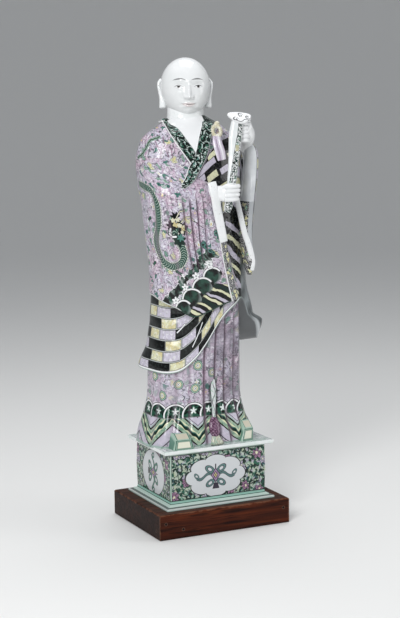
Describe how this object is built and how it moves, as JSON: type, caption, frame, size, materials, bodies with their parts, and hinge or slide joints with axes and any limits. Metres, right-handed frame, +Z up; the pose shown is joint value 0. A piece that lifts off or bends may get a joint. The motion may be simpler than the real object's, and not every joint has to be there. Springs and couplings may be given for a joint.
{
  "type": "porcelain figure",
  "caption": "Standing bald monk in a patched outer robe who holds a ruyi sceptre, enamelled porcelain fired with its rectangular plinth, on a plain block of dark hardwood.",
  "frame": {"origin": "middle of the underside of the wooden stand", "axes": "+Z up, the figure faces -Y, its right hand on the -X side"},
  "size_m": [0.216, 0.17, 0.7],
  "materials": {
    "porcelain": "gloss",
    "hardwood": "satin"
  },
  "bodies": {
    "root": {"porcelain_figure": "porcelain", "wooden_stand": "hardwood"}
  },
  "joints": []
}
